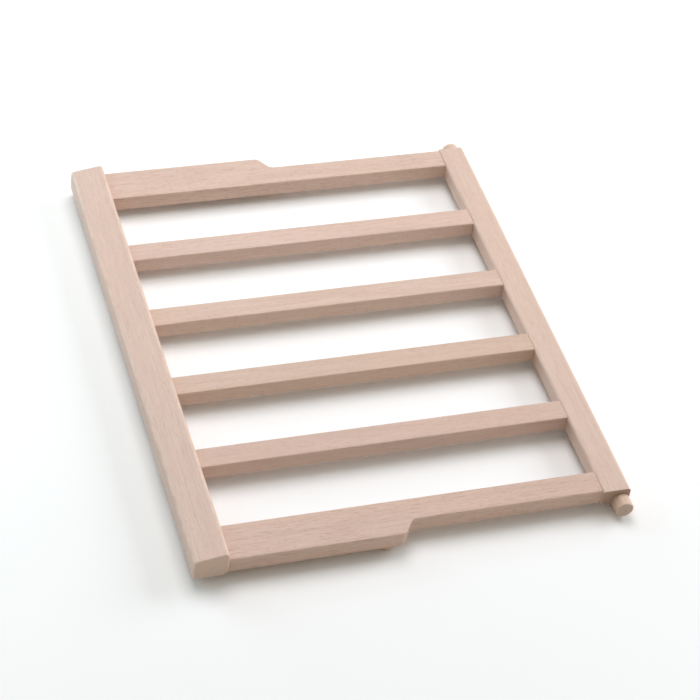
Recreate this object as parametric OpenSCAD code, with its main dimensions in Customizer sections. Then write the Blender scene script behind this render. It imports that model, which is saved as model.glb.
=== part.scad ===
// Slatted swing shelf of a weaving loom.
// Four slats and two stepped side rails join a thick front rail to a rear stile.
// Two round pivot pins at the ends of the stile carry it between the loom's side frames,
// and a round peg under each side rail holds it up in front of its middle.
// X runs from the front rail to the stile, Y along both, Z up.
// The origin is at the middle of the box, on the surface that the pegs and the rib stand on.

/* [Overall] */
// depth, outer face of the front rail to outer face of the stile
depth = 484; // [460:1:520]
// thickness of slats, side rails and the flat part of the stile
board_t = 18.8; // [17:0.1:19.2]
// radius of the eased long edges
ease_r = 1.5; // [0.5:0.25:2.5]

/* [Slats] */
// number of slats
slat_n = 4; // [4:1:4]
// slat width
slat_w = 26.6; // [20:0.2:36]

/* [Side rails] */
// inner faces of the side rails, from the middle
inner_y = 253.5; // [240:0.5:256]
// width of the rear, narrow part
narrow_w = 28.4; // [26:0.1:29]
// width of the front, wide part
wide_w = 46; // [44:0.5:48]
// where the wide part's rounded corner has its centre, along X
step_x = -21; // [-60:1:20]
// from the rounded corner's centre to the fillet's centre, along X
step_run = 21; // [19:1:30]
// radius of the rounded corner
corner_r = 9; // [7:0.5:9.5]
// radius of the fillet
fillet_r = 8; // [6:0.5:9]

/* [Front rail] */
// front rail length
front_l = 604; // [600:1:620]
// front rail width
front_w = 37.2; // [34:0.2:44]
// height of its outer face
front_h_outer = 25.6; // [23:0.1:28]
// height of its inner face, where the top slopes up to
front_h_inner = 32; // [28:0.5:35]
// how far its underside is below the underside of the slats
front_drop = 1.2; // [0:0.1:3]
// radius of both top edges
front_top_r = 3.8; // [1.5:0.1:5]
// radius of the lower outer edge
front_low_r = 3.5; // [1.5:0.5:5]
// radius of the lower inner edge
front_cove_r = 9; // [4:0.5:10]

/* [Stile] */
// stile length
stile_l = 568; // [564:1:570]
// stile width
stile_w = 32; // [31:0.5:36]
// radius of its upper outer edge
stile_top_r = 4.5; // [1.5:0.5:5]
// radius of its upper inner edge
stile_in_r = 3; // [1:0.5:4]
// radius of the rib under it, which is round about the pins' axis
rib_r = 12.5; // [12:0.25:13]
// pins' axis below the slats' top face
pin_drop = 16; // [15:0.5:17]

/* [Pins and pegs] */
// pin and peg radius
pin_r = 10; // [9:0.25:10]
// distance between the tips of the two pivot pins
pin_span = 600; // [590:1:610]
// peg centres along X
peg_x = -32; // [-60:1:-28]
// peg centres, from the middle along Y
peg_y = 285.5; // [280:0.5:287]
// radius of the tenon on a pin or peg
tenon_r = 6; // [5:0.25:6]
// length of a pivot pin's tenon
pin_tenon = 40; // [30:1:60]
// length of a peg's tenon
peg_tenon = 13; // [10:0.5:14]
// chamfer on the tips
tip_c = 1.5; // [0.5:0.1:1.8]

/* [Dowels] */
// dowel radius
dowel_r = 5; // [4:0.25:5]
// how far a dowel goes into a slat, a side rail or the front rail
dowel_in = 22; // [18:1:24]
// how far a dowel goes into the stile
dowel_stile = 12; // [10:0.5:13]
// glue space around a dowel or tenon
glue_gap = 0.05; // [0.02:0.01:0.1]
// glue space at the end of a blind hole
end_gap = 1; // [0.5:0.1:1.5]

/* [View] */
// the part to draw

/* [Hidden] */
$fn = 96;
top_z = pin_drop + rib_r;
low_z = top_z - board_t;
mid_z = low_z + board_t / 2;
front_x0 = -depth / 2;
front_x = front_x0 + front_w;
stile_x = depth / 2 - stile_w;
front_z = low_z - front_drop;
pin_x = depth / 2 - pin_r - 0.3;
pin_z = rib_r;
slat_gap = (2 * inner_y - slat_n * slat_w) / (slat_n + 1);
function slat_y(i) = -inner_y + i * (slat_gap + slat_w) - slat_w / 2;
wide_y = inner_y + wide_w;
narrow_y = inner_y + narrow_w;
// dowels of a wide side rail end, from its inner face
pair_y = [inner_y + 12, inner_y + 34];
rear_y = inner_y + narrow_w / 2;

wood = [0.86, 0.74, 0.67];
wood_front = [0.83, 0.72, 0.64];
wood_pin = [0.80, 0.68, 0.58];
wood_dowel = [0.84, 0.75, 0.63];

// a rectangle from the origin with rounded corners
module bar_section(w, t, r) {
    translate([r, 0]) square([w - 2 * r, t]);
    translate([0, r]) square([w, t - 2 * r]);
    for (x = [r, w - r], y = [r, t - r]) translate([x, y]) circle(r);
}

// section drawn in (Y, Z), run along X
module along_x(x, l) {
    translate([x, 0, 0]) rotate([90, 0, 90]) linear_extrude(l) children();
}

// section drawn in (X, Z), run along Y about the middle
module along_y(l) {
    translate([0, l / 2, 0]) rotate([90, 0, 0]) linear_extrude(l) children();
}

// round hole or dowel along X
module rod_x(x, y, l, r) {
    translate([x, y, mid_z]) rotate([0, 90, 0]) cylinder(h = l, r = r);
}

// blind hole for a dowel that crosses the plane x, cut to a depth on each side
module dowel_hole(x, y, before, after) {
    rod_x(x - before - end_gap, y, before + after + 2 * end_gap, dowel_r + glue_gap);
}

module dowel_front(y) {
    color(wood_dowel) rod_x(front_x - dowel_in, y, 2 * dowel_in, dowel_r);
}

module dowel_rear(y) {
    color(wood_dowel) rod_x(stile_x - dowel_in, y, dowel_in + dowel_stile, dowel_r);
}

module front_holes() {
    for (i = [1:slat_n]) dowel_hole(front_x, slat_y(i), dowel_in, dowel_in);
    for (s = [-1, 1], y = pair_y) dowel_hole(front_x, s * y, dowel_in, dowel_in);
}

module rear_holes() {
    for (i = [1:slat_n]) dowel_hole(stile_x, slat_y(i), dowel_in, dowel_stile);
    for (s = [-1, 1]) dowel_hole(stile_x, s * rear_y, dowel_in, dowel_stile);
}

// section of the front rail: its top slopes up towards the slats
module front_section() {
    a = atan((front_h_inner - front_h_outer) / front_w);
    r = front_top_r;
    n = [-sin(a), cos(a)];
    c1 = [r, front_h_outer + r * tan(a) - r / cos(a)];
    c2 = [front_w - r, front_h_outer + (front_w - r) * tan(a) - r / cos(a)];
    polygon([
        [0, front_low_r], [front_low_r, 0], [front_w - front_cove_r, 0],
        [front_w, front_cove_r], [front_w, c2[1]], c2 + r * n, c1 + r * n, [0, c1[1]]
    ]);
    translate(c1) circle(r);
    translate(c2) circle(r);
    translate([front_low_r, front_low_r]) circle(front_low_r);
    translate([front_w - front_cove_r, front_cove_r]) circle(front_cove_r);
}

module front_rail() {
    color(wood_front) difference() {
        translate([front_x0, 0, front_z]) along_y(front_l) front_section();
        front_holes();
    }
}

// section of the stile: a flat board with a round rib under its outer part
module stile_section() {
    polygon([
        [stile_x, low_z + ease_r], [stile_x + ease_r, low_z], [depth / 2, low_z],
        [depth / 2, top_z - stile_top_r], [depth / 2 - stile_top_r, top_z],
        [stile_x + stile_in_r, top_z], [stile_x, top_z - stile_in_r]
    ]);
    translate([stile_x + ease_r, low_z + ease_r]) circle(ease_r);
    translate([stile_x + stile_in_r, top_z - stile_in_r]) circle(stile_in_r);
    translate([depth / 2 - stile_top_r, top_z - stile_top_r]) circle(stile_top_r);
    intersection() {
        translate([pin_x, pin_z]) circle(rib_r);
        translate([stile_x, 0]) square([stile_w, top_z - stile_top_r]);
    }
}

module rear_stile() {
    color(wood) difference() {
        along_y(stile_l) stile_section();
        rear_holes();
        for (s = [-1, 1]) translate([pin_x, s * stile_l / 2, pin_z]) rotate([s * 90, 0, 0])
            cylinder(h = pin_tenon + end_gap, r = tenon_r + glue_gap);
    }
}

// points of an arc about c, in steps of about 3 degrees
function arc(c, r, a0, a1) = let (n = ceil(abs(a1 - a0) / 3))
    [for (i = [0:n]) c + r * [cos(a0 + (a1 - a0) * i / n), sin(a0 + (a1 - a0) * i / n)]];

// plan of the side rail on the +Y side: wide in front, narrow behind an S-shaped step
module rail_plan() {
    c1 = [step_x, wide_y - corner_r];
    c2 = [step_x + step_run, narrow_y + fillet_r];
    d = c2 - c1;
    q = asin((corner_r + fillet_r) / norm(d)) - atan2(d[1], d[0]);
    polygon(concat(
        [[front_x, inner_y], [stile_x, inner_y], [stile_x, narrow_y]],
        arc(c2, fillet_r, 270, 270 - q),
        arc(c1, corner_r, 90 - q, 90),
        [[front_x, wide_y]]
    ));
}

module side_rail() {
    difference() {
        intersection() {
            translate([0, 0, low_z]) linear_extrude(board_t) rail_plan();
            along_x(front_x, stile_x - front_x) translate([inner_y, low_z])
                bar_section(2 * wide_w, board_t, ease_r);
        }
        for (y = pair_y) dowel_hole(front_x, y, dowel_in, dowel_in);
        dowel_hole(stile_x, rear_y, dowel_in, dowel_stile);
        translate([peg_x, peg_y, low_z - 1])
            cylinder(h = peg_tenon + end_gap + 1, r = tenon_r + glue_gap);
    }
}

module side_rail_left() { color(wood) side_rail(); }

module side_rail_right() { color(wood) mirror([0, 1, 0]) side_rail(); }

module slat(i) {
    color(wood) difference() {
        along_x(front_x, stile_x - front_x) translate([slat_y(i) - slat_w / 2, low_z])
            bar_section(slat_w, board_t, ease_r);
        dowel_hole(front_x, slat_y(i), dowel_in, dowel_in);
        dowel_hole(stile_x, slat_y(i), dowel_in, dowel_stile);
    }
}

// turned pin on +Z: shoulder at z = 0, tenon below, tip above with a centre mark
module turned_pin(l, tenon) {
    mark = 1.2;
    rotate_extrude() polygon([
        [0, -tenon], [tenon_r - 1, -tenon], [tenon_r, 1 - tenon], [tenon_r, 0], [pin_r, 0],
        [pin_r, l - tip_c], [pin_r - tip_c, l], [mark, l], [0, l - mark]
    ]);
}

module pivot_pin(s) {
    color(wood_pin) translate([pin_x, s * stile_l / 2, pin_z]) rotate([-s * 90, 0, 0])
        turned_pin((pin_span - stile_l) / 2, pin_tenon);
}

module support_peg(s) {
    color(wood_pin) translate([peg_x, s * peg_y, low_z]) rotate([180, 0, 0])
        turned_pin(low_z, peg_tenon);
}

front_rail();
rear_stile();
side_rail_left();
side_rail_right();
slat(1);  // slat_1
slat(2);  // slat_2
slat(3);  // slat_3
slat(4);  // slat_4
pivot_pin(1);  // pivot_pin_left
pivot_pin(-1);  // pivot_pin_right
support_peg(1);  // support_peg_left
support_peg(-1);  // support_peg_right
dowel_front(slat_y(1));  // dowel_front_1
dowel_front(slat_y(2));  // dowel_front_2
dowel_front(slat_y(3));  // dowel_front_3
dowel_front(slat_y(4));  // dowel_front_4
dowel_front(pair_y[0]);  // dowel_front_left_inner
dowel_front(pair_y[1]);  // dowel_front_left_outer
dowel_front(-pair_y[0]);  // dowel_front_right_inner
dowel_front(-pair_y[1]);  // dowel_front_right_outer
dowel_rear(slat_y(1));  // dowel_rear_1
dowel_rear(slat_y(2));  // dowel_rear_2
dowel_rear(slat_y(3));  // dowel_rear_3
dowel_rear(slat_y(4));  // dowel_rear_4
dowel_rear(rear_y);  // dowel_rear_left
dowel_rear(-rear_y);  // dowel_rear_right
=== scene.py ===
"""Looks of a slatted swing shelf of a weaving loom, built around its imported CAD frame.
Metres, +X from the front rail to the stile, +Y along both, +Z up. Nothing in it moves, so every piece rides
on "root".
Each visible wooden member is a lofted or turned mesh with eased edges that stands for its CAD node."""

import math

import bpy
import numpy as np
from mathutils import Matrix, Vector


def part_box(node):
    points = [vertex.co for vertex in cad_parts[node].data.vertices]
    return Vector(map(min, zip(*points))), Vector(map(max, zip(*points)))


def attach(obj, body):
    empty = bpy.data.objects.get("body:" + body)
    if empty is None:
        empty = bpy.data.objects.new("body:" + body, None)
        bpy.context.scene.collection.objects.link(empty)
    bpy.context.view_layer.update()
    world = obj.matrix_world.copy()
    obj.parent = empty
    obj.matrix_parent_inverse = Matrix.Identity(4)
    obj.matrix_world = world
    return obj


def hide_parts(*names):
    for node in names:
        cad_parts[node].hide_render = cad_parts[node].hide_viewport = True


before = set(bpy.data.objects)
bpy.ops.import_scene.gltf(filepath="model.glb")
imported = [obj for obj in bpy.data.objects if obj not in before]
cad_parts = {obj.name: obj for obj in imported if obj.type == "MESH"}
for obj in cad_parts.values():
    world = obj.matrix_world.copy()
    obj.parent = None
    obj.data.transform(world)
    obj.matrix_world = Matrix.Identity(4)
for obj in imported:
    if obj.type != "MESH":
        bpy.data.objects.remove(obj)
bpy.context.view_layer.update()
MM = 0.001

# ---------------------------------------------------------------- sizes from the frame
front_lo, front_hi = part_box("front_rail")
stile_lo, stile_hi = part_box("rear_stile")
slat_lo, slat_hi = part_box("slat_1")
near_lo, near_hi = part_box("side_rail_right")
pin_lo, pin_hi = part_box("pivot_pin_left")
TOP, LOW = slat_hi.z, slat_lo.z            # faces of the flush boards
FRONT_X, STILE_X = slat_lo.x, slat_hi.x    # inner faces of the front rail and the stile
INNER_Y, WIDE_Y = -near_hi.y, -near_lo.y   # inner faces of the side rails, outer faces of their wide parts
PIN_R = (pin_hi.x - pin_lo.x) / 2
PIN_X, PIN_Z = (pin_lo.x + pin_hi.x) / 2, (pin_lo.z + pin_hi.z) / 2

# ---------------------------------------------------------------- sizes that the nodes' boxes don't give
EASE = 1.5 * MM                            # rounding of the boards' edges
FRONT_OUTER_H, FRONT_INNER_H = 25.6 * MM, 32 * MM    # front rail's height at its outer and inner face
FRONT_TOP_R, FRONT_LOW_IN_R, FRONT_LOW_OUT_R = 3.8 * MM, 9 * MM, 3.5 * MM
STILE_OUT_R, STILE_IN_R, RIB_EDGE_R = 4.5 * MM, 3 * MM, 0.6 * MM
NARROW_W = 28.4 * MM                       # side rail's width behind its step
STEP_X, STEP_RUN, CORNER_R, FILLET_R = -21 * MM, 21 * MM, 9 * MM, 8 * MM
FRONT_END_EASE, STILE_END_EASE = 1.8 * MM, 0.5 * MM
SLAT_FRONT_EASE, SLAT_STILE_EASE = 0.4 * MM, 0.8 * MM
SIDE_FRONT_SHARE, SIDE_STILE_SHARE = 0.27, 0.53    # of EASE, at the side rails' butt ends
TENON_R, PIN_TIP, PEG_TIP = 6 * MM, 2.2 * MM, 1.5 * MM


# ---------------------------------------------------------------- outlines
def rounded(corners, step=15):
    """Closed anticlockwise outline through corners (u, v, radius), each rounded by an arc. Returns rows of
    u, v, edge paling and ease. The edge paling, partly handling wear and partly a painted highlight, is 1 in
    the middle of a convex arc, and every edge's ease is 1."""
    rows, n = [], len(corners)
    for i, (u, v, r) in enumerate(corners):
        p = np.array([u, v], float)
        a = np.array(corners[i - 1][:2], float) - p
        b = np.array(corners[(i + 1) % n][:2], float) - p
        a, b = a / np.linalg.norm(a), b / np.linalg.norm(b)
        turn = math.pi - math.acos(max(-1, min(1, float(a @ b))))
        if r == 0 or turn < 0.01:
            rows.append((u, v, 0, 1))
            continue
        convex = a[0] * b[1] - a[1] * b[0] < 0
        centre = p + (a + b) / np.linalg.norm(a + b) * r / math.cos(turn / 2)
        start = p + a * r * math.tan(turn / 2) - centre
        k = max(3, math.ceil(math.degrees(turn) / step))
        for j in range(k + 1):
            t = turn * j / k * (1 if convex else -1)
            c, s = math.cos(t), math.sin(t)
            wear_and_highlight = math.sin(math.pi * j / k) if convex else 0
            u, v = centre[0] + start[0] * c - start[1] * s, centre[1] + start[0] * s + start[1] * c
            rows.append((u, v, wear_and_highlight, 1))
    return np.array(rows)


def inset(outline, d):
    """The outline moved inwards by d times each edge's ease. A row's ease belongs to the edge after it."""
    p, ease = outline[:, :2], outline[:, 3]
    along = np.roll(p, -1, 0) - p
    along /= np.linalg.norm(along, axis=1)[:, None]
    normal = np.stack([along[:, 1], -along[:, 0]], 1)
    before, ease_before = np.roll(normal, 1, 0), np.roll(ease, 1)
    moved = p.copy()
    for i in range(len(p)):    # where the two edges at this corner cross once they have moved
        m = np.array([before[i], normal[i]])
        want = -d * np.array([ease_before[i], ease[i]])
        if abs(np.linalg.det(m)) > 0.3:
            moved[i] += np.linalg.solve(m, want)
        else:
            moved[i] += (before[i] + normal[i]) * want.mean() / (1 + float(before[i] @ normal[i]))
    return moved


def eased(lo, hi, e_lo, e_hi, k=5):
    """Stations along a member: rows of place, inset and edge paling (wear and painted highlight), with a
    quarter round at each end.
    """
    quarter = [math.pi / 2 * j / k for j in range(k + 1)]
    near = [(lo + e_lo * (1 - math.cos(t)), e_lo * (1 - math.sin(t)), math.sin(2 * t)) for t in quarter]
    far = [(hi - e_hi * (1 - math.sin(t)), e_hi * (1 - math.cos(t)), math.sin(2 * t)) for t in quarter]
    return near + far


def arc(cx, cy, r, a0, a1, wear_and_highlight, n=12):
    """Outline rows of an arc from angle a0 to a1 in degrees, its ends without edge paling (wear and painted
    highlight).
    """
    turns = [math.radians(a0 + (a1 - a0) * j / n) for j in range(n + 1)]
    return [(cx + r * math.cos(a), cy + r * math.sin(a), wear_and_highlight if 0 < j < n else 0.0, 1)
            for j, a in enumerate(turns)]


# ---------------------------------------------------------------- meshes
ACROSS = {"X": (1, 2, 0), "Y": (2, 0, 1), "Z": (0, 1, 2)}    # axes that u, v and the length follow


def mesh_object(name, verts, faces, wear_and_highlight):
    mesh = bpy.data.meshes.new(name)
    mesh.from_pydata([tuple(v) for v in verts], [], faces)
    mesh.attributes.new("wear_and_highlight", "FLOAT", "POINT").data.foreach_set("value", np.array(wear_and_highlight, np.float32))
    mesh.shade_smooth()
    obj = bpy.data.objects.new(name, mesh)
    bpy.context.scene.collection.objects.link(obj)
    bpy.context.view_layer.objects.active = obj
    weighted = obj.modifiers.new("normals", "WEIGHTED_NORMAL")    # flat faces stay flat beside smooth edges
    weighted.mode, weighted.weight, weighted.keep_sharp = "FACE_AREA", 50, True
    bpy.ops.object.modifier_apply(modifier=weighted.name)
    return obj


def loft(name, outline, axis, stations):
    """A closed solid with this outline across its axis."""
    iu, iv, iw = ACROSS[axis]
    verts, wear_and_highlight, n, last = [], [], len(outline), len(stations) - 1
    for s, (place, d, worn_and_highlit) in enumerate(stations):
        ring = inset(outline, d)
        for i in range(n):
            p = [0.0, 0.0, 0.0]
            p[iu], p[iv], p[iw] = ring[i, 0], ring[i, 1], place
            verts.append(p)
            wear_and_highlight.append(0 if s in (0, last) else max(worn_and_highlit, outline[i, 2]))
    faces = [tuple(range(n - 1, -1, -1)), tuple(last * n + i for i in range(n))]
    for s in range(last):
        for i in range(n):
            j = (i + 1) % n
            faces.append((s * n + i, s * n + j, (s + 1) * n + j, (s + 1) * n + i))
    return mesh_object(name, verts, faces, wear_and_highlight)


def lathe(name, profile, place, way, sides=72):
    """A turned piece: profile rows of radius, length and edge paling (wear and painted highlight), along the
    direction way from place.
    """
    turn = Vector(way).to_track_quat("Z", "Y").to_matrix()
    verts, wear_and_highlight, faces, rings = [], [], [], []
    for r, l, worn_and_highlit in profile:
        rings.append((len(verts), r == 0))
        for i in range(1 if r == 0 else sides):
            a = 2 * math.pi * i / sides
            verts.append(Vector(place) + turn @ Vector((r * math.cos(a), r * math.sin(a), l)))
            wear_and_highlight.append(worn_and_highlit)
    for (a, a_point), (b, b_point) in zip(rings, rings[1:]):
        for i in range(sides):
            j = (i + 1) % sides
            if a_point:
                faces.append((a, b + j, b + i))
            elif b_point:
                faces.append((a + i, a + j, b))
            else:
                faces.append((a + i, a + j, b + j, b + i))
    return mesh_object(name, verts, faces, wear_and_highlight)


# ---------------------------------------------------------------- node trees
class Tree:
    """Short words for building the node tree of a material or world."""

    def __init__(self, owner):
        self.owner = owner
        owner.use_nodes = True
        self.nodes, self.links = owner.node_tree.nodes, owner.node_tree.links
        self.nodes.clear()

    def put(self, node, key, value):
        if isinstance(value, bpy.types.NodeSocket):
            self.links.new(value, node.inputs[key])
        else:
            node.inputs[key].default_value = value

    def node(self, kind, inputs=(), **settings):
        made = self.nodes.new(kind)
        for key, value in settings.items():
            setattr(made, key, value)
        for key, value in dict(inputs).items():
            self.put(made, key, value)
        return made

    def math(self, what, a, b=0.0, c=0.0):
        return self.node("ShaderNodeMath", {0: a, 1: b, 2: c}, operation=what).outputs[0]

    def vector(self, what, a, b=(0.0, 0.0, 0.0)):
        made = self.node("ShaderNodeVectorMath", {0: a, 1: b}, operation=what)
        return made.outputs["Value" if what in ("DOT_PRODUCT", "LENGTH") else "Vector"]

    def split(self, vector):
        return self.node("ShaderNodeSeparateXYZ", {0: vector}).outputs

    def ramp(self, value, lo, hi, to_lo=0.0, to_hi=1.0, kind="SMOOTHSTEP"):
        """value taken from the range lo to hi to the range to_lo to to_hi, and held at its ends."""
        keys = {"Value": value, "From Min": lo, "From Max": hi, "To Min": to_lo, "To Max": to_hi}
        return self.node("ShaderNodeMapRange", keys, interpolation_type=kind).outputs[0]

    def noise(self, vector, scale, detail=2.0, roughness=0.5):
        moved = self.vector("MULTIPLY", vector, scale)
        keys = {"Vector": moved, "Scale": 1.0, "Detail": detail, "Roughness": roughness}
        return self.node("ShaderNodeTexNoise", keys).outputs[0]

    def spread(self, value, size):
        """A small shift across the fibres, nothing where value is a half."""
        shift = self.math("MULTIPLY", self.math("SUBTRACT", value, 0.5), size)
        return self.node("ShaderNodeCombineXYZ", {0: 0.0, 1: shift, 2: shift}).outputs[0]

    def mix(self, factor, a, b):
        made = self.node("ShaderNodeMix", data_type="RGBA", clamp_factor=True)
        for key, value in ((0, factor), (6, a), (7, b)):
            self.put(made, key, value)
        return made.outputs[2]

    def shade(self, **inputs):
        shader = self.node("ShaderNodeBsdfPrincipled", {k.replace("_", " "): v for k, v in inputs.items()})
        self.node("ShaderNodeOutputMaterial", {0: shader.outputs[0]})
        return self.owner


def srgb(r, g, b):
    """Linear colour of an 8 bit one."""
    return tuple(((c / 255 + 0.055) / 1.055) ** 2.4 for c in (r, g, b)) + (1.0,)


def tinted(base, r, g, b):
    return srgb(base[0] + r, base[1] + g, base[2] + b)


# ---------------------------------------------------------------- beech
FIBRE_TURN = {"X": (0, 0, 0), "Y": (0, 0, -math.pi / 2), "Z": (0, math.pi / 2, 0)}
RAY = (166, 124, 98)
TURNED_END = (192, 168, 153)    # end grain of the pins and pegs


def beech(name, axis, seed, base, pith, ring=0.0032, rings=0.24, flecks=0.34, dash=0.18, wave=0.016,
          rub_and_highlight=0.35, end=(196, 168, 150)):
    """Planed, oiled beech. axis is the fibres' direction and pith the place of the tree's middle across them.
    ring is the width of a year's growth, and wave how far the rings wander. rings, flecks and dash are the
    strengths of rings, rays and vessel lines, and rub that of the paler edges, partly handling wear and
    partly a painted highlight. base is the wood's colour along the fibres, and end that of its end grain."""
    t = Tree(bpy.data.materials.new(name))
    rng = np.random.default_rng(seed)
    place = t.node("ShaderNodeTexCoord").outputs["Object"]
    keys = {"Vector": place, "Rotation": FIBRE_TURN[axis], "Location": (rng.uniform(-3, 3), 0, 0)}
    along = t.node("ShaderNodeMapping", keys).outputs[0]

    # growth rings: distance from the pith, wandering a little along the fibres
    ripple = t.math("MULTIPLY", t.noise(along, (7.0, 70.0, 70.0)), 0.003)
    bend = t.math("MULTIPLY_ADD", t.noise(along, (1.8, 9.0, 9.0)), wave, ripple)
    parts = t.split(along)
    dy, dz = t.math("SUBTRACT", parts[1], pith[0]), t.math("SUBTRACT", parts[2], pith[1])
    far = t.math("SQRT", t.math("ADD", t.math("MULTIPLY", dy, dy), t.math("MULTIPLY", dz, dz)))
    phase = t.math("FRACT", t.math("DIVIDE", t.math("ADD", far, bend), ring))
    late = t.math("MULTIPLY", t.ramp(phase, 0.30, 0.92), t.ramp(phase, 1.0, 0.945))

    # fibres, soft streaks, broad tone, the short dark rays and longer wavy vessel lines
    waved = t.vector("ADD", along, t.spread(t.noise(along, (22.0, 60.0, 60.0)), 0.006))
    fibres = t.noise(along, (30.0, 1300.0, 1300.0), 3.0, 0.65)
    streaks = t.noise(along, (8.0, 300.0, 300.0), 3.0, 0.6)
    broad = t.noise(along, (5.0, 24.0, 24.0))
    rays = t.ramp(t.noise(along, (135.0, 1500.0, 1300.0), 1.0, 0.4), 0.60, 0.72)
    dashes = t.ramp(t.noise(waved, (48.0, 620.0, 620.0), 2.0, 0.55), 0.53, 0.66)

    colour = t.mix(t.math("MULTIPLY", late, rings), srgb(*base), tinted(base, -26, -31, -33))
    colour = t.mix(t.ramp(streaks, 0.40, 0.75, 0.0, 0.45), colour, tinted(base, -14, -20, -23))
    colour = t.mix(t.ramp(broad, 0.40, 0.72, 0.0, 0.5), colour, tinted(base, 6, 0, -4))
    colour = t.mix(t.ramp(fibres, 0.35, 0.75, 0.0, 0.5), colour, tinted(base, -16, -21, -24))
    colour = t.mix(t.math("MULTIPLY", dashes, dash), colour, tinted(base, -38, -48, -52))
    colour = t.mix(t.math("MULTIPLY", rays, flecks), colour, srgb(*RAY))

    # end grain is darker, with open pores
    normal = t.node("ShaderNodeNewGeometry").outputs["Normal"]
    facing = t.split(normal)["XYZ".index(axis)]
    across = t.ramp(t.math("ABSOLUTE", facing), 0.45, 0.9)
    pores = t.noise(along, (300.0, 1400.0, 1400.0), 2.0, 0.6)
    cut = t.mix(t.math("MULTIPLY", late, 0.12), srgb(*end), tinted(end, -26, -28, -28))
    cut = t.mix(t.ramp(pores, 0.48, 0.70, 0.0, 0.4), cut, tinted(end, -34, -37, -37))
    colour = t.mix(across, colour, cut)

    # handled edges are a little paler and smoother; the paler edge is partly handling wear and partly a
    # painted highlight
    wear_and_highlight = t.node("ShaderNodeAttribute", attribute_name="wear_and_highlight").outputs["Fac"]
    rubbed_and_highlight = t.math("MULTIPLY", wear_and_highlight, t.ramp(t.noise(along, (60.0, 90.0, 90.0), 3.0), 0.3, 0.7, 0.15, 0.8))
    colour = t.mix(t.math("MULTIPLY", rubbed_and_highlight, rub_and_highlight), colour, tinted(base, 16, 19, 14))

    rough = t.math("MULTIPLY_ADD", streaks, 0.14, 0.42)
    rough = t.math("MULTIPLY_ADD", rays, 0.10, rough)
    rough = t.math("MULTIPLY_ADD", across, 0.18, rough)
    rough = t.math("MULTIPLY_ADD", rubbed_and_highlight, -0.08, rough)

    height = t.math("MULTIPLY_ADD", fibres, 0.5, t.math("MULTIPLY", late, 0.2))
    height = t.math("SUBTRACT", height, t.math("MULTIPLY", rays, 0.35))
    height = t.math("SUBTRACT", height, t.math("MULTIPLY", across, t.math("MULTIPLY", pores, 0.6)))
    bump = t.node("ShaderNodeBump", {"Height": height, "Strength": 0.35, "Distance": 0.00012}).outputs[0]
    return t.shade(Base_Color=colour, Roughness=rough, Normal=bump, IOR=1.45, Specular_IOR_Level=0.5)


def wooden(obj, node, material):
    """obj stands for the CAD node and takes the material."""
    obj.data.materials.append(material)
    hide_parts(node)
    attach(obj, "root")


# ---------------------------------------------------------------- front rail: its top slopes up to the slats
base_z = front_lo.z
section = rounded([
    (base_z + FRONT_OUTER_H, front_lo.x, FRONT_TOP_R), (base_z + FRONT_INNER_H, front_hi.x, FRONT_TOP_R),
    (base_z, front_hi.x, FRONT_LOW_IN_R), (base_z, front_lo.x, FRONT_LOW_OUT_R)], 12)
rail = loft("front_rail_looks", section, "Y", eased(front_lo.y, front_hi.y, FRONT_END_EASE, FRONT_END_EASE))
# rub is high here: the pale line along the rounded top edges is a painted highlight on top of the handling
# wear
wood = beech("beech_front_rail", "Y", 11, (219, 193, 180), (-0.22, -0.06), ring=0.0036, rings=0.12,
             flecks=0.25, dash=0.13, rub_and_highlight=0.9, end=(209, 182, 166))
wooden(rail, "front_rail", wood)

# ---------------------------------------------------------------- stile: a board with a round rib
RIB_STEPS = 24
drop, out = PIN_Z - LOW, stile_hi.x - PIN_X
start = math.pi + math.asin(drop / PIN_Z)
stop = 2 * math.pi - math.acos(out / PIN_Z)
plan = [(STILE_X, LOW, EASE)]
for i in range(RIB_STEPS + 1):    # round the pins' axis, down to z = 0
    a = start + (stop - start) * i / RIB_STEPS
    edge_r = RIB_EDGE_R if i in (0, RIB_STEPS) else 0
    plan.append((PIN_X + PIN_Z * math.cos(a), PIN_Z + PIN_Z * math.sin(a), edge_r))
plan += [(stile_hi.x, TOP, STILE_OUT_R), (STILE_X, TOP, STILE_IN_R)]
section = rounded([(z, x, r) for x, z, r in plan][::-1], 12)
ends = eased(stile_lo.y, stile_hi.y, STILE_END_EASE, STILE_END_EASE)
stile = loft("rear_stile_looks", section, "Y", ends)
# its end grain is darker than the other members': partly the wood's end grain, partly painted shade of the
# pin and rib over the end faces
wood = beech("beech_stile", "Y", 23, (218, 192, 178), (0.235, -0.09), ring=0.0028, rings=0.14,
             flecks=0.22, end=(176, 146, 128))
wooden(stile, "rear_stile", wood)

# ---------------------------------------------------------------- slats
SLATS = (    # colour, height of the pith, width of the rings
    ((212, 185, 172), -0.05, 0.0030), ((212, 185, 169), 0.09, 0.0036),
    ((218, 191, 176), -0.08, 0.0026), ((218, 191, 178), -0.06, 0.0033))
for i, (tone, pith_z, ring) in enumerate(SLATS, 1):
    lo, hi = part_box(f"slat_{i}")
    section = rounded([(lo.y, lo.z, EASE), (hi.y, lo.z, EASE), (hi.y, hi.z, EASE), (lo.y, hi.z, EASE)])
    slat = loft(f"slat_{i}_looks", section, "X", eased(lo.x, hi.x, SLAT_FRONT_EASE, SLAT_STILE_EASE))
    wood = beech(f"beech_slat_{i}", "X", 40 + i, tone, ((lo.y + hi.y) / 2, pith_z), ring=ring)
    wooden(slat, f"slat_{i}", wood)


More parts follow.
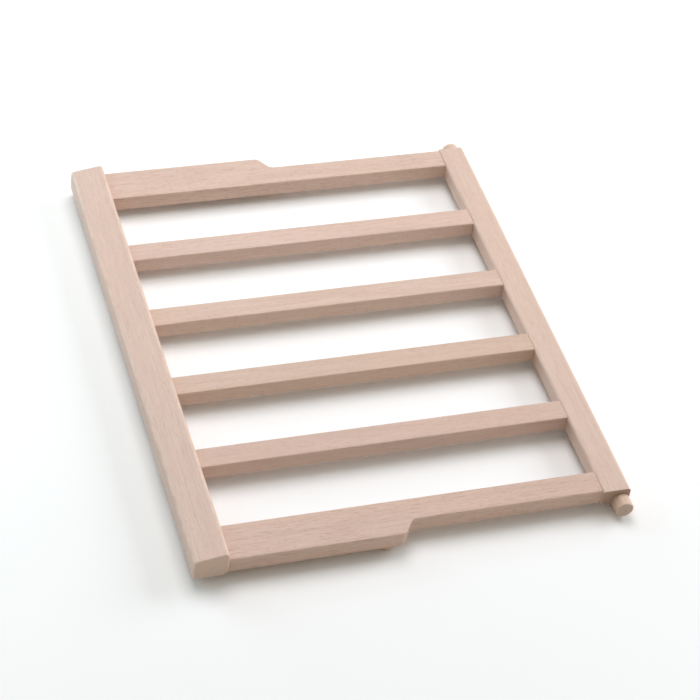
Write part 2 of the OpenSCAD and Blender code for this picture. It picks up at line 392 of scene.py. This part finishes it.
# ---------------------------------------------------------------- side rails
def side_outline(side):
    """Plan of a side rail, anticlockwise: wide in front, narrow behind an S-shaped step."""
    narrow_y = INNER_Y + NARROW_W
    c1, c2 = (STEP_X, WIDE_Y - CORNER_R), (STEP_X + STEP_RUN, narrow_y + FILLET_R)
    dx, dy = c2[0] - c1[0], c2[1] - c1[1]
    q = math.degrees(math.asin((CORNER_R + FILLET_R) / math.hypot(dx, dy)) - math.atan2(dy, dx))
    rows = [(FRONT_X, INNER_Y, 0, 1), (STILE_X, INNER_Y, 0, SIDE_STILE_SHARE), (STILE_X, narrow_y, 0, 1)]
    rows += arc(*c2, FILLET_R, 270, 270 - q, 0.0) + arc(*c1, CORNER_R, 90 - q, 90, 0.2)
    rows += [(FRONT_X, WIDE_Y, 0, SIDE_FRONT_SHARE)]
    if side < 0:    # mirrored, so the order turns round and each ease moves to the other end of its edge
        rows = [(x, -y, w, rows[i - 1][3]) for i, (x, y, w, _) in enumerate(rows)][::-1]
    return np.array(rows)


SIDE_PITH_OUT = 0.03    # how far outside the inner face the pith lies
SIDE_RAILS = (          # node, side, colour, seed
    ("side_rail_left", 1, (217, 190, 176), 61), ("side_rail_right", -1, (212, 184, 170), 67))
for node, side, tone, seed in SIDE_RAILS:
    rail = loft(node + "_looks", side_outline(side), "Z", eased(LOW, TOP, EASE, EASE))
    pith = (side * (INNER_Y + SIDE_PITH_OUT), -0.055)
    wood = beech("beech_" + node, "X", seed, tone, pith, ring=0.0034, wave=0.022, flecks=0.42, dash=0.32)
    wooden(rail, node, wood)


# ---------------------------------------------------------------- turned pins and pegs
def turned(length, tenon, tip):
    """Profile of a turned pin: tenon, shoulder at 0, barrel, rounded tip with the lathe's centre mark."""
    mark, mark_lip, rim, tip_steps = 1.2 * MM, 0.15 * MM, 0.3 * MM, 7
    rows = [(0, -tenon, 0), (TENON_R - MM, -tenon, 0), (TENON_R, MM - tenon, 0), (TENON_R, 0, 0)]
    # the third column pales the shoulder and the tip: handling wear and a painted highlight
    rows += [(PIN_R - rim, 0, 0), (PIN_R, rim, 0.3), (PIN_R, length - tip - rim, 0)]
    for j in range(1, tip_steps + 1):
        a = math.pi / 2 * j / tip_steps
        worn_and_highlit = 0.6 if j < tip_steps else 0.1
        rows.append((PIN_R - tip * (1 - math.cos(a)), length - tip + tip * math.sin(a), worn_and_highlit))
    return rows + [(mark + rim, length, 0), (mark, length - mark_lip, 0), (0, length - mark, 0)]


for node, side in (("pivot_pin_left", 1), ("pivot_pin_right", -1)):
    lo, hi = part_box(node)
    tip_y, tenon_y = (hi.y, lo.y) if side > 0 else (lo.y, hi.y)
    shoulder = side * stile_hi.y
    profile = turned(abs(tip_y - shoulder), abs(shoulder - tenon_y), PIN_TIP)
    pin = lathe(node + "_looks", profile, (PIN_X, shoulder, PIN_Z), (0, side, 0))
    wood = beech("beech_" + node, "Y", 80 + side, (218, 192, 173), (PIN_X + 0.02, -0.03), ring=0.0030,
                 end=TURNED_END)
    wooden(pin, node, wood)
for node in ("support_peg_left", "support_peg_right"):
    lo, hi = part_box(node)
    middle = ((lo.x + hi.x) / 2, (lo.y + hi.y) / 2, LOW)
    peg = lathe(node + "_looks", turned(LOW - lo.z, hi.z - LOW, PEG_TIP), middle, (0, 0, -1))
    wood = beech("beech_" + node, "Z", 90, (216, 189, 170), (middle[0] + 0.02, -0.03), ring=0.0030,
                 end=TURNED_END)
    wooden(peg, node, wood)

# ---------------------------------------------------------------- hidden dowels keep their CAD solids
dowel_wood = beech("beech_dowels", "X", 99, (214, 190, 160), (0.01, -0.02), ring=0.0030)
for name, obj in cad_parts.items():
    if name.startswith("dowel_"):
        obj.data.materials.clear()
        obj.data.materials.append(dowel_wood)

# ---------------------------------------------------------------- pale floor, glowing more away from the shelf: painted light that keeps it white
FLOOR_R, FLOOR_SIDES, FLOOR_Z = 30, 64, -0.0002
t = Tree(bpy.data.materials.new("pale_floor"))
place = t.node("ShaderNodeTexCoord").outputs["Object"]
cloud = t.ramp(t.noise(place, (0.7, 0.7, 0.7)), 0.3, 0.7)
away = t.vector("LENGTH", place)
# its emission is painted light, a glow that rises with the distance from the shelf
t.shade(Base_Color=t.mix(cloud, srgb(254, 254, 254), srgb(251, 251, 251)), Roughness=0.9,
        Emission_Color=(1.0, 1.0, 1.0, 1.0), Emission_Strength=t.ramp(away, 0.3, 2.6, 0.0, 0.65))
mesh = bpy.data.meshes.new("floor")
turns = [2 * math.pi * i / FLOOR_SIDES for i in range(FLOOR_SIDES)]
rim = [(FLOOR_R * math.cos(a), FLOOR_R * math.sin(a), FLOOR_Z) for a in turns]
mesh.from_pydata(rim, [], [tuple(range(FLOOR_SIDES))])
mesh.materials.append(t.owner)
floor = bpy.data.objects.new("floor", mesh)
bpy.context.scene.collection.objects.link(floor)

# ---------------------------------------------------------------- soft studio light
scene = bpy.context.scene
scene.view_settings.view_transform = "Standard"
LOBES = (    # direction that a part of the sky shines from, and its linear colour
    ((0, -1, 0), (0.135, 0.128, 0.045)), ((1, 0, 0), (0.22, 0.17, 0.126)), ((0, 0, 1), (0.41, 0.412, 0.41)))
t = Tree(bpy.data.worlds.new("soft_white"))
scene.world = t.owner
toward = t.node("ShaderNodeTexCoord").outputs["Generated"]
height = t.math("ABSOLUTE", t.split(toward)[2])
glow = t.ramp(height, 0.02, 0.25, 0.3, 0.0, "LINEAR")    # a pale band along the horizon
for way, colour in LOBES:
    facing = t.math("MAXIMUM", t.vector("DOT_PRODUCT", toward, way), 0.0)
    glow = t.vector("ADD", glow, t.vector("MULTIPLY", colour, facing))
background = t.node("ShaderNodeBackground", {"Color": glow})
t.node("ShaderNodeOutputWorld", {"Surface": background.outputs[0]})


def softbox(name, place, size, power, colour):
    """A square lamp turned towards the origin. Its sides are in metres and its power in watts."""
    lamp = bpy.data.lights.new(name, "AREA")
    lamp.shape, lamp.size, lamp.energy, lamp.color = "SQUARE", size, power, colour
    obj = bpy.data.objects.new(name, lamp)
    obj.location = place
    obj.rotation_mode = "QUATERNION"
    obj.rotation_quaternion = Vector(place).to_track_quat("Z", "Y")
    obj.visible_camera = False
    scene.collection.objects.link(obj)


softbox("overhead", (0.0, 0.9, 2.2), 1.6, 31, (1.0, 0.985, 0.99))
softbox("right_side", (3.0, 0.6, 1.6), 1.8, 65, (0.85, 0.92, 1.0))
softbox("left_side", (-1.3, 1.4, 0.8), 1.2, 14.6, (0.70, 0.92, 1.0))

# ---------------------------------------------------------------- camera
lens = bpy.data.cameras.new("camera")
lens.sensor_width, lens.lens = 36, 116.439
lens.clip_start, lens.clip_end = 0.05, 200
camera = bpy.data.objects.new("camera", lens)
camera.location = (-0.71118, -1.67887, 1.77475)
camera.rotation_euler = [math.radians(a) for a in (45.3593, -6.9559, -16.6060)]
scene.collection.objects.link(camera)
scene.camera = camera
